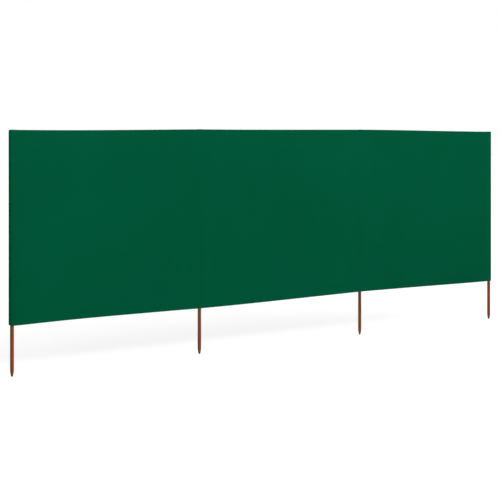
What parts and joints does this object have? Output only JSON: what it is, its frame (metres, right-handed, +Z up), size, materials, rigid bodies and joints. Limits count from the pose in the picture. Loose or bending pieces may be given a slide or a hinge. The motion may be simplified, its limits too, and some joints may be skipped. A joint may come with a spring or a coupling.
{
  "type": "beach windbreak",
  "caption": "Long low screen of taut dark green cloth in bays, held in sewn pockets on round wooden poles with pointed feet for driving into the ground.",
  "frame": {"origin": "middle of the flat foot of the left-hand pole, as seen from the front", "axes": "+X along the run of poles from left to right, -Y out of the front face of the cloth, +Z up the poles"},
  "size_m": [4, 0.028, 1.502],
  "materials": {
    "windbreak_cloth": "dark green woven polyester, taut, slight sheen",
    "pole_wood": "red-brown stained hardwood dowel, satin"
  },
  "bodies": {
    "root": {"pole_1": "pole_wood", "pole_2": "pole_wood", "pole_3": "pole_wood", "pole_4": "pole_wood", "cloth_bay_1": "windbreak_cloth", "cloth_bay_2": "windbreak_cloth", "cloth_bay_3": "windbreak_cloth", "end_sleeve_left": "windbreak_cloth", "end_sleeve_right": "windbreak_cloth", "pole_pocket_2": "windbreak_cloth", "pole_pocket_3": "windbreak_cloth", "top_hem_1": "windbreak_cloth", "top_hem_2": "windbreak_cloth", "top_hem_3": "windbreak_cloth", "bottom_hem_1": "windbreak_cloth", "bottom_hem_2": "windbreak_cloth", "bottom_hem_3": "windbreak_cloth"}
  },
  "joints": []
}
